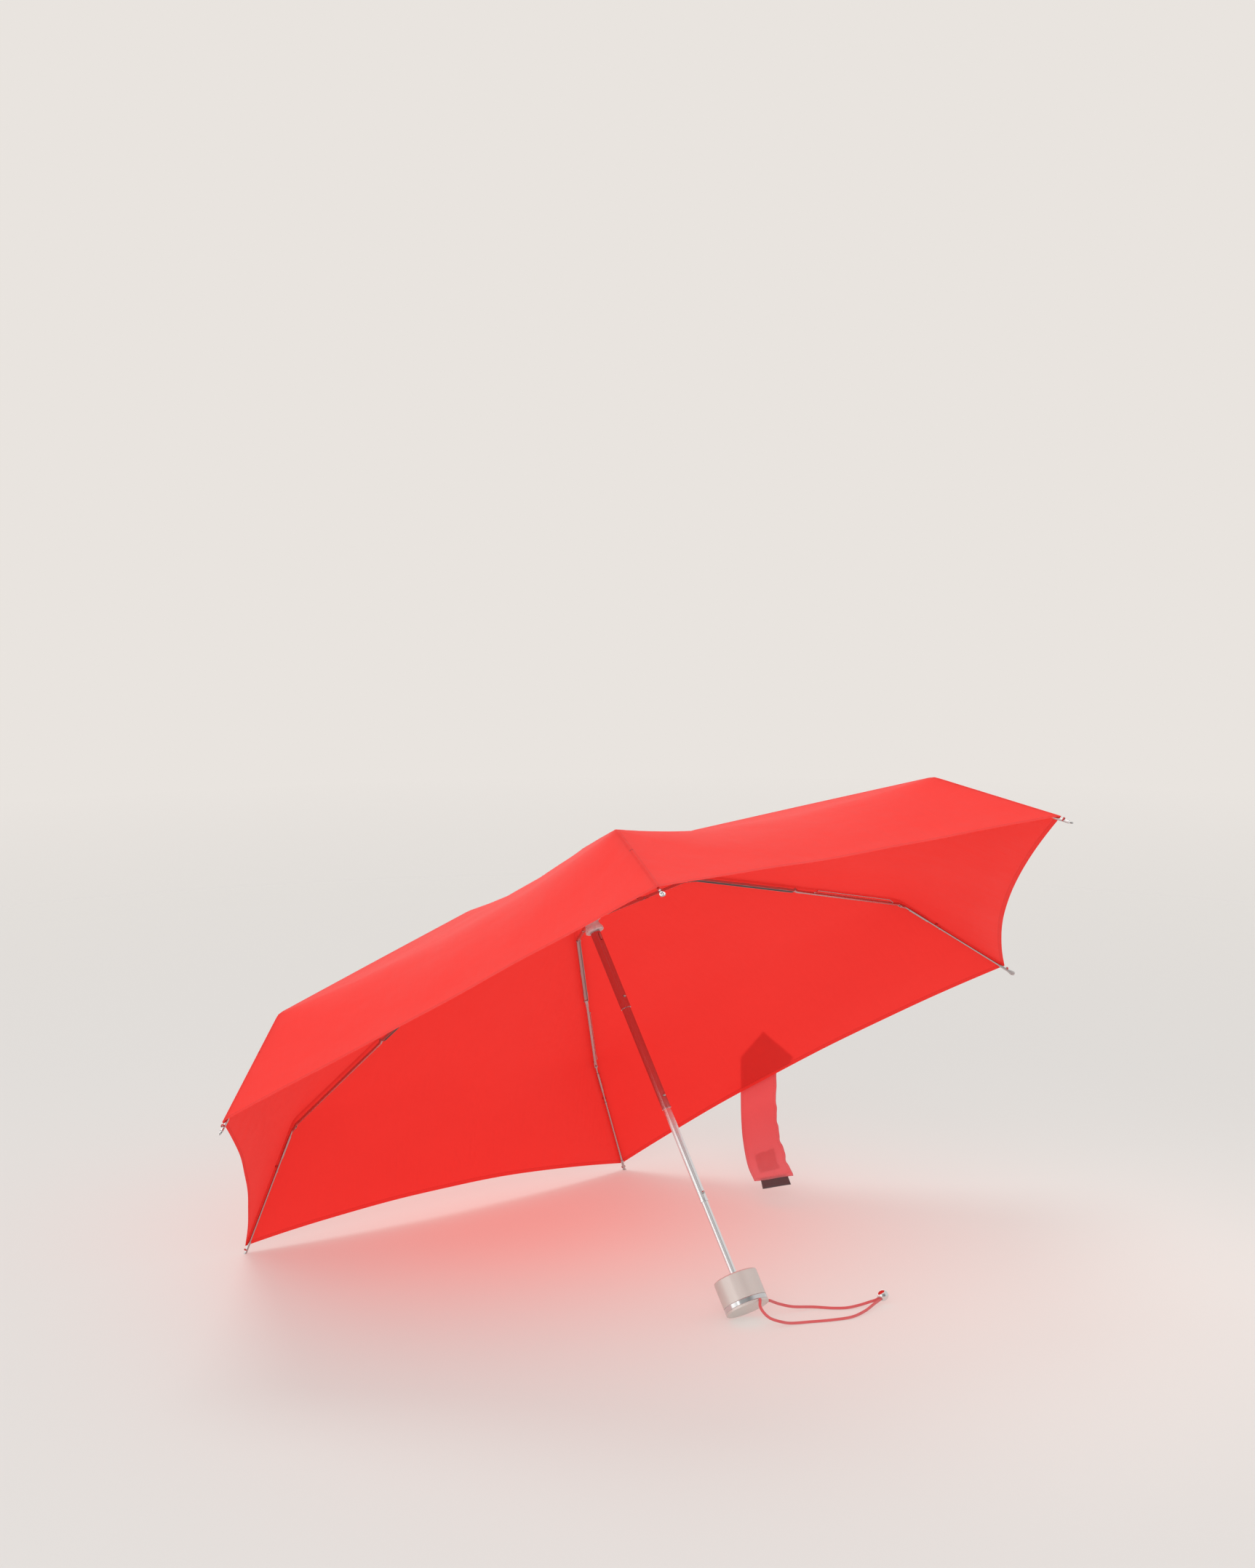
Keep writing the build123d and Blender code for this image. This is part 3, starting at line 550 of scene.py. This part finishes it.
def cloth_piece(name, panel, ring, first_col, last_col):
    """Block of a panel: one ring of rows between two columns."""
    place, normal, attributes = PANELS[panel]
    first_row, last_row = ROW_CUTS[ring:ring + 2]
    block = np.s_[first_row:last_row + 1, first_col:last_col + 1]
    faces = grid_faces(last_row - first_row, last_col - first_col, rows_first=True)
    ob = new_mesh(name, place[block].reshape(-1, 3), faces, CLOTH)
    set_attributes(ob, **{key: grid[block].ravel() * MM for key, grid in attributes.items()})
    ob.data.normals_split_custom_set_from_vertices(normal[block].reshape(-1, 3).tolist())
    return ob


# ring, name, body it rides, share kept when folded, tilt of the cloth's normal from the
# shaft and dip of the gathering direction (both in degrees)
ZONES = (
    (1, "inner", "second_link_%d", 0.045, -15.1, 8.0),
    (2, "middle", "third_link_%d", 0.035, -15.6, 8.5),
    (3, "outer", "outer_link_%d", 0.05, -43.0, 17.0),
)


def rib_cloth(rib):
    """Cloth that folds with one rib: half a panel on each side in every zone."""
    sides = (("a", rib, 0, MID_COL, 1.0), ("b", rib - 1 or RIBS, MID_COL, COLS, -1.0))
    pieces = []
    for ring, zone, body, keep, tilt_deg, dip_deg in ZONES:
        for side, panel, first_col, last_col, sign in sides:
            name = "canopy_%s_%d_%s" % (zone, rib, side)
            ob = cloth_piece(name, panel, ring, first_col, last_col)
            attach(ob, body % rib)
            squash(ob)
            pieces.append(ob)
    return pieces


def crown_cloth(panel):
    """Cloth round the crown of one panel, in narrow gores."""
    pieces = []
    for gore in range(GORES):
        name = "canopy_crown_%d_%d" % (panel, gore + 1)
        ob = cloth_piece(name, panel, 0, gore * COLS // GORES, (gore + 1) * COLS // GORES)
        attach(ob, "shaft_1")
        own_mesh(ob)
        pieces.append(ob)
    return pieces


canopy_pieces = []
for rib in range(1, RIBS + 1):
    canopy_pieces += rib_cloth(rib) + crown_cloth(rib)
for ob in canopy_pieces:
    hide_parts("canopy")

# --------------------------------------------------------------------- tie strap
# It hangs from the hem of panel 4. Its shape is given along the hem and down.
HEM_DIR = unit(vec(225.0, -389.711, 0))
HANG = -UP
STRAP_AT = vec(-304.5, -232.0, 277.0)
STRAP_NORMAL = unit(np.cross(HEM_DIR, HANG))
# slope of the cloth where the strap is sewn on
PATCH_NORMAL = unit(vec(-0.63551071, -0.36691228, 0.67933903))
PATCH_UP = unit(np.cross(PATCH_NORMAL, HEM_DIR))

# long edges of the hanging strap: share of its length, along the hem, down
STRAP_EDGE_A = np.array([
    (0, -17.8, -5.5), (0.25, -17.1, 28), (0.45, -17.9, 48), (0.6, -19.8, 65),
    (0.7, -23.6, 77), (0.82, -28.0, 92), (0.92, -32.6, 103.6), (1, -36.5, 114.9)])
STRAP_EDGE_B = np.array([
    (0, 24.6, -5.5), (0.25, 24.4, 26.3), (0.45, 23.4, 45.4), (0.63, 20.5, 63.8),
    (0.82, 16.2, 83), (1, 9.2, 100.8)])
STRAP_WIDTH = 41.0
STRAP_LENGTH = 108.0
# tape under the free end, corners on edges A and B: along the hem, down
TAG_TOP = vec(-30.0, 112.8), vec(1.1, 103.2)
TAG_LOW = vec(-33.6, 122.8), vec(-1.1, 112.6)
TAG_WIDTH = 32.0
TAG_LENGTH = 11.0
TAG_TUCK = 1.4                              # length hidden above the strap's end
TAG_TUCK_SHARE = 0.16                       # the same as a share of the visible height
HOOK_WIDTH = 22.0
HOOK_LENGTH = 20.0
# edges of the pointed sewn patch: share of its height, along the hem, up the cloth
PATCH_EDGE_A = np.array([(0, -33.6, 0.8), (0.14, -41.0, 5.5), (1, -32.4, 45.9)])
PATCH_EDGE_B = np.array([(0, 23.9, 0.8), (0.66, 3.2, 32.4), (1, -32.0, 45.9)])
PATCH_HEIGHT = 46.0


def ribbon(name, rows, cols, point, material, slot, thickness):
    """Sheet from point(y, x), which gives place, pu, pv and distance from the edge."""
    points = [point(row / rows, col / cols) for row in range(rows + 1)
              for col in range(cols + 1)]
    places, across, along, from_edge = (np.array(column) for column in zip(*points))
    ob = new_mesh(name, places, grid_faces(rows, cols), material)
    set_attributes(ob, pu=across * MM, pv=along * MM, hem=from_edge * MM)
    sheet = ob.modifiers.new("sheet", "SOLIDIFY")
    sheet.thickness = thickness * MM
    sheet.offset = 0
    return ob


def edge_at(table, y):
    return np.array([np.interp(y, table[:, 0], table[:, 1]),
                     np.interp(y, table[:, 0], table[:, 2])])


def strap_edge(table, y):
    """Edge with its corners averaged out, except close to the ends."""
    reach = 0.05
    if reach < y < 1 - reach:
        return sum(edge_at(table, y + shift) for shift in (-reach, 0, reach)) / 3
    return edge_at(table, y)


def lean(place, down):
    """Bring a point of the hanging strap towards the camera, more the lower it is."""
    return place + unit(CAM_AT - place) * (96.0 * max(down / 123.0, 0.0) ** 1.6)


def cross_wave(y, x):
    return 1.1 * math.sin(x * 6.8 + y * 3.0) * (0.25 + 0.75 * y)


def strap_point(y, x):
    """y from 0 at the hem to 1 at the free end, x from edge A to edge B."""
    edge_a, edge_b = strap_edge(STRAP_EDGE_A, y), strap_edge(STRAP_EDGE_B, y)
    # edge A is a little uneven
    uneven = 0.75 * math.sin(y * 31.0) * (0.3 + y) + 0.4 * math.sin(y * 67.0 + 1.0) * y
    across, down = (edge_a + vec(uneven, 0)) * (1 - x) + edge_b * x
    wave = 1.5 * math.sin(y * 7.5 + 0.6 + x * 1.4) * y + cross_wave(y, x)
    # the top few millimetres turn over the hem and lie on the outside of the cloth
    over = PATCH_NORMAL * (1.3 * max(0.0, 1.0 - max(down, 0.0) / 8.0))
    fall = HANG * down if down > 0 else PATCH_UP * (-down)
    place = STRAP_AT + HEM_DIR * across + fall + over + STRAP_NORMAL * wave
    sheet_x, sheet_y = (x - 0.5) * STRAP_WIDTH, y * STRAP_LENGTH
    from_edge = min(STRAP_WIDTH / 2 - abs(sheet_x), STRAP_LENGTH - sheet_y)
    return lean(place, down), sheet_x, sheet_y, from_edge


def tag_point(y, x):
    top = TAG_TOP[0] * (1 - x) + TAG_TOP[1] * x
    low = TAG_LOW[0] * (1 - x) + TAG_LOW[1] * x
    share = (1 + TAG_TUCK_SHARE) * y - TAG_TUCK_SHARE
    across, down = top * (1 - share) + low * share
    # follows the wave of the middle half of the strap's end
    lift = 0.35 * math.sin(y * 2.0 + x * 5.0) + cross_wave(1, 0.25 + 0.5 * x)
    place = STRAP_AT + HEM_DIR * across + HANG * down + STRAP_NORMAL * lift
    sheet_x, sheet_y = (x - 0.5) * TAG_WIDTH, TAG_LENGTH * y - TAG_TUCK
    from_edge = min(TAG_WIDTH / 2 - abs(sheet_x), TAG_LENGTH - TAG_TUCK - sheet_y)
    return lean(place, down), sheet_x, sheet_y, from_edge


def hook_point(y, x):
    """Patch just off the strap, over the middle of its width near the free end."""
    place, sheet_x, sheet_y, _ = strap_point(0.72 + 0.2 * y, 0.25 + 0.5 * x)
    from_edge = min(HOOK_WIDTH / 2 - abs(HOOK_WIDTH * (x - 0.5)),
                    HOOK_LENGTH / 2 - abs(HOOK_LENGTH * (y - 0.5)))
    return place - STRAP_NORMAL * 0.75, sheet_x, sheet_y, from_edge


cloth_grid = PANELS[4][0]
cloth_tree = BVHTree.FromPolygons(
    cloth_grid.reshape(-1, 3).tolist(),
    grid_faces(cloth_grid.shape[0] - 1, cloth_grid.shape[1] - 1))


def patch_point(y, x):
    """Sewn end of the strap, laid on the outside of the cloth."""
    edge_a, edge_b = edge_at(PATCH_EDGE_A, y), edge_at(PATCH_EDGE_B, y)
    across, up = edge_a * (1 - x) + edge_b * x
    place = STRAP_AT + HEM_DIR * across + PATCH_UP * up
    # slide along the camera's line of sight onto the cloth
    sight = unit(place - CAM_AT)
    hit = cloth_tree.ray_cast(Vector(place - sight * 200), Vector(sight), 400.0)[0]
    if hit is None:
        hit = cloth_tree.find_nearest(Vector(place))[0]
    from_edge = min(x, 1 - x) * float(np.linalg.norm(edge_b - edge_a)) * 0.5
    return (vec(*hit) + PATCH_NORMAL * 0.75, across, up,
            min(from_edge, PATCH_HEIGHT - up) + 0.4)


# name, rows, columns, shape, material, slot, thickness, piece it replaces
HANGING = (
    ("strap_band", 60, 24, strap_point, STRAP, "red_fabric", 0.5, "tie_strap"),
    ("strap_label_tape", 10, 24, tag_point, TAG, "tag_fabric", 0.8, "strap_tag"),
    ("strap_hook_tape", 16, 16, hook_point, HOOK, "hook_fabric", 0.7, "strap_hook_patch"),
)
for *sheet, replaced in HANGING:
    ob = ribbon(*sheet)
    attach(ob, "strap")
    squash(ob)
    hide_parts(replaced)

patch = ribbon("strap_sewn_end", 34, 28, patch_point, SEWN, "red_fabric", 0.4)
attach(patch, "strap_root")
squash(patch)
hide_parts("strap_anchor")


# -------------------------------------------------------------------- wrist cord
def on_floor(x, y, height):
    return REST_AT + FLOOR_X * x + FLOOR_Y * y + UP * height


def smooth_path(points, steps):
    """Catmull-Rom curve through points, with steps per span."""
    ends = 2 * points[0] - points[1], 2 * points[-1] - points[-2]
    points = [ends[0], *points, ends[1]]
    path = []
    for before, start, end, after in zip(points, points[1:], points[2:], points[3:]):
        for step in range(steps):
            t = step / steps
            path.append(0.5 * (
                2 * start + (end - before) * t
                + (2 * before - 5 * start + 4 * end - after) * t * t
                + (3 * start - before - 3 * end + after) * t ** 3))
    path.append(points[-2])
    return np.array(path)


def tube_along(name, path, radius, material, sides):
    """Round tube with flat ends; pu is the angle round it, pv the length along in m."""
    tangents = np.gradient(path, axis=0)
    tangents /= np.linalg.norm(tangents, axis=1, keepdims=True)
    up = unit(np.cross(tangents[0], vec(0.31, 0.52, 0.79)))
    verts, around, along = [], [], []
    length = 0.0
    for index, (centre, tangent) in enumerate(zip(path, tangents)):
        if index:
            length += np.linalg.norm(centre - path[index - 1])
        up = unit(up - tangent * (up @ tangent))
        across = np.cross(tangent, up)
        for side in range(sides):
            angle = 2 * math.pi * side / sides
            verts.append(centre + radius * (math.cos(angle) * up + math.sin(angle) * across))
            around.append(angle)
            along.append(length * MM)
    faces = []
    for ring in range(0, (len(path) - 1) * sides, sides):
        for side in range(sides):
            here, following = ring + side, ring + (side + 1) % sides
            faces.append((here, following, following + sides, here + sides))
    faces.append(tuple(range(sides))[::-1])
    faces.append(tuple(range(len(verts) - sides, len(verts))))
    ob = new_mesh(name, verts, faces, material)
    set_attributes(ob, pu=around, pv=along)
    return ob


BEAD_AT = on_floor(-124.7, 56.4, 9.0)
BEAD_DIR = unit(-0.9 * FLOOR_X - 0.04 * FLOOR_Y + 0.42 * UP)
BEAD_SIDE = unit(np.cross(UP, BEAD_DIR))


def strand(angle_deg, bend_radius, drop, run, side):
    """Cord from the handle's end cap to one side of the bead.

    drop holds places in the umbrella's frame, run (x, y, height) over the floor.
    """
    angle = math.radians(angle_deg)
    outward = vec(math.cos(angle), math.sin(angle), 0)
    start = [outward * radius + AXIS * 1.2 for radius in (17.8, bend_radius)]
    in_bead = BEAD_AT + BEAD_SIDE * 1.5 * side
    return (start + [vec(*place) for place in drop] + [on_floor(*place) for place in run]
            + [in_bead - BEAD_DIR * 6.5, in_bead])


first_strand = strand(
    angle_deg=92, bend_radius=20.6, side=-1,
    drop=[(2.3, 23.6, -1.2), (4.6, 23.9, -5.5), (3.8, 23.7, -11.2), (-0.8, 23.6, -18.3),
          (-9.9, 24.2, -23.9)],
    run=[(-22.3, 50.4, 2.3), (-41.1, 57.0, 1.5), (-57.6, 64.4, 1.5), (-75.8, 70.0, 1.9),
         (-93.4, 67.8, 3.4), (-109.6, 62.0, 5.6)])
second_strand = strand(
    angle_deg=160, bend_radius=21.6, side=1,
    drop=[(-27.9, 3.6, -0.6), (-35.1, 1.1, -2.9), (-47.2, 1.8, -8.2)],
    run=[(-67.6, 26.5, 2.6), (-80.8, 38.0, 1.6), (-91.0, 46.6, 2.0), (-103.0, 50.5, 3.2),
         (-111.5, 54.0, 5.2)])
loop = smooth_path(first_strand + [BEAD_AT + BEAD_DIR * 1.4] + second_strand[::-1], steps=20)
cord = tube_along("cord_loop", loop, 1.32, CORD, sides=18)
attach(cord, "cord")
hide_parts("wrist_cord")


# ----------------------------------------- threads that tie the cloth to the ribs
def tie(name, centre, axis, body, radius=1.75, turns=3, pitch=0.5):
    """Coil of thread round a rib."""
    first = unit(np.cross(axis, vec(0.2, 0.3, 0.9)))
    second = np.cross(axis, first)
    path = np.array([
        centre + radius * (math.cos(angle) * first + math.sin(angle) * second)
        + axis * (angle / (2 * math.pi) - turns / 2) * pitch
        for angle in np.linspace(0, 2 * math.pi * turns, 22 * turns)])
    ob = tube_along(name, path, 0.22, THREAD, sides=6)
    # far enough from any edge (in m) to have no stitches
    set_attributes(ob, hem=[0.01] * len(ob.data.vertices))
    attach(ob, body)


for rib in range(1, RIBS + 1):
    outward = rib_directions(rib)[0]
    along_rib = unit(outward * 99.0 - AXIS * 92.0)
    for place, radius, z in (("tip", 450.6, 264.6), ("outer", 389.3, 322.4)):
        tie("thread_%s_%d" % (place, rib), outward * radius + AXIS * z, along_rib,
            "outer_link_%d" % rib)

# ------------------------------------------------------------------------- floor
FLOOR_HALF = 3000.0
FLOOR_GAP = 0.35                            # floor below the rim
FLOOR_SHIFT = vec(0, -230, 160)             # towards the middle, flattened onto the floor

corners = [(x * FLOOR_HALF, y * FLOOR_HALF, 0) for x, y in ((-1, -1), (1, -1), (1, 1), (-1, 1))]
floor = new_mesh("floor", corners, [(0, 1, 2, 3)], floor_material())
turn = Vector((0, 0, 1)).rotation_difference(Vector(UP)).to_matrix().to_4x4()
centre = REST_AT - UP * FLOOR_GAP + FLOOR_SHIFT - UP * (UP @ FLOOR_SHIFT)
floor.matrix_world = Matrix.Translation(Vector(centre * MM)) @ turn


# ------------------------------------------------------------------------- world
def studio_world():
    """Plain backdrop, even light, and a shaped surround for shiny parts to mirror."""
    world = bpy.data.worlds.new("studio")
    bpy.context.scene.world = world
    w = Nodes(world, "ShaderNodeOutputWorld")
    direction = w.add("ShaderNodeTexCoord").outputs["Generated"]

    def background(**inputs):
        return w.add("ShaderNodeBackground", inputs).outputs[0]

    def towards(axis, **limits):
        """Smooth change with how far a direction points along an axis."""
        return w.ramp(w.dot(direction, tuple(unit(axis))), curve="SMOOTHSTEP", **limits)

    # darker towards the camera, brighter to its left, with one soft spot of light
    level = w.times(towards(-CAM_FORWARD, low=0.35, high=0.92, at_low=1.0, at_high=0.30),
                    towards(-CAM_RIGHT, low=-0.35, high=0.15, at_low=0.80, at_high=1.55))
    lamp = towards(-CAM_FORWARD * 0.80 - CAM_RIGHT * 0.58,
                   low=0.965, high=0.985, at_low=0.0, at_high=1.6)
    seen = background(Color=(0.815, 0.776, 0.738, 1))
    light = background(Color=(1.0, 0.975, 0.95, 1), Strength=0.78)
    mirrored = background(Color=(1.0, 0.975, 0.955, 1), Strength=w.plus(level, lamp))
    ray = w.add("ShaderNodeLightPath").outputs
    direct = w.largest(ray["Is Camera Ray"], ray["Is Transmission Ray"])
    indirect = w.mix_shader(ray["Is Glossy Ray"], light, mirrored)
    w.done(w.mix_shader(direct, indirect, seen))


studio_world()


# ------------------------------------------------------------- lights and camera
def area_light(name, right, up, nearer, size, energy, colour):
    """Disk light, placed in mm from a point under the canopy; size in m, energy in W."""
    target = vec(0, -60, 250)
    place = target + CAM_RIGHT * right + UP * up - CAM_FORWARD * nearer
    data = bpy.data.lights.new(name, "AREA")
    data.shape = "DISK"
    data.size = size
    data.energy = energy
    data.color = colour
    ob = add_object(name, data)
    aim = Vector(target - place).normalized().to_track_quat("-Z", "Y")
    ob.matrix_world = Matrix.Translation(Vector(place * MM)) @ aim.to_matrix().to_4x4()
    return ob


area_light("key", right=-350, up=2300, nearer=-500, size=1.5, energy=14.5,
           colour=(1.0, 0.98, 0.95))
front = area_light("front", right=-300, up=1100, nearer=4300, size=3.2, energy=82.0,
                   colour=(1.0, 0.985, 0.97))
front.visible_glossy = False

lens = bpy.data.cameras.new("camera")
lens.sensor_fit = "AUTO"
lens.sensor_width = 36.0
lens.lens = 106.75937
lens.clip_end = 50.0                        # m
lens.shift_x = 0.0023
lens.shift_y = -0.0017
camera = add_object("camera", lens)
pose = np.eye(4)
pose[:3] = np.column_stack((CAM_RIGHT, -CAM_DOWN, -CAM_FORWARD, CAM_AT * MM))
camera.matrix_world = Matrix(pose.tolist())

scene = bpy.context.scene
scene.camera = camera
scene.view_settings.view_transform = "Standard"
scene.view_settings.look = "None"
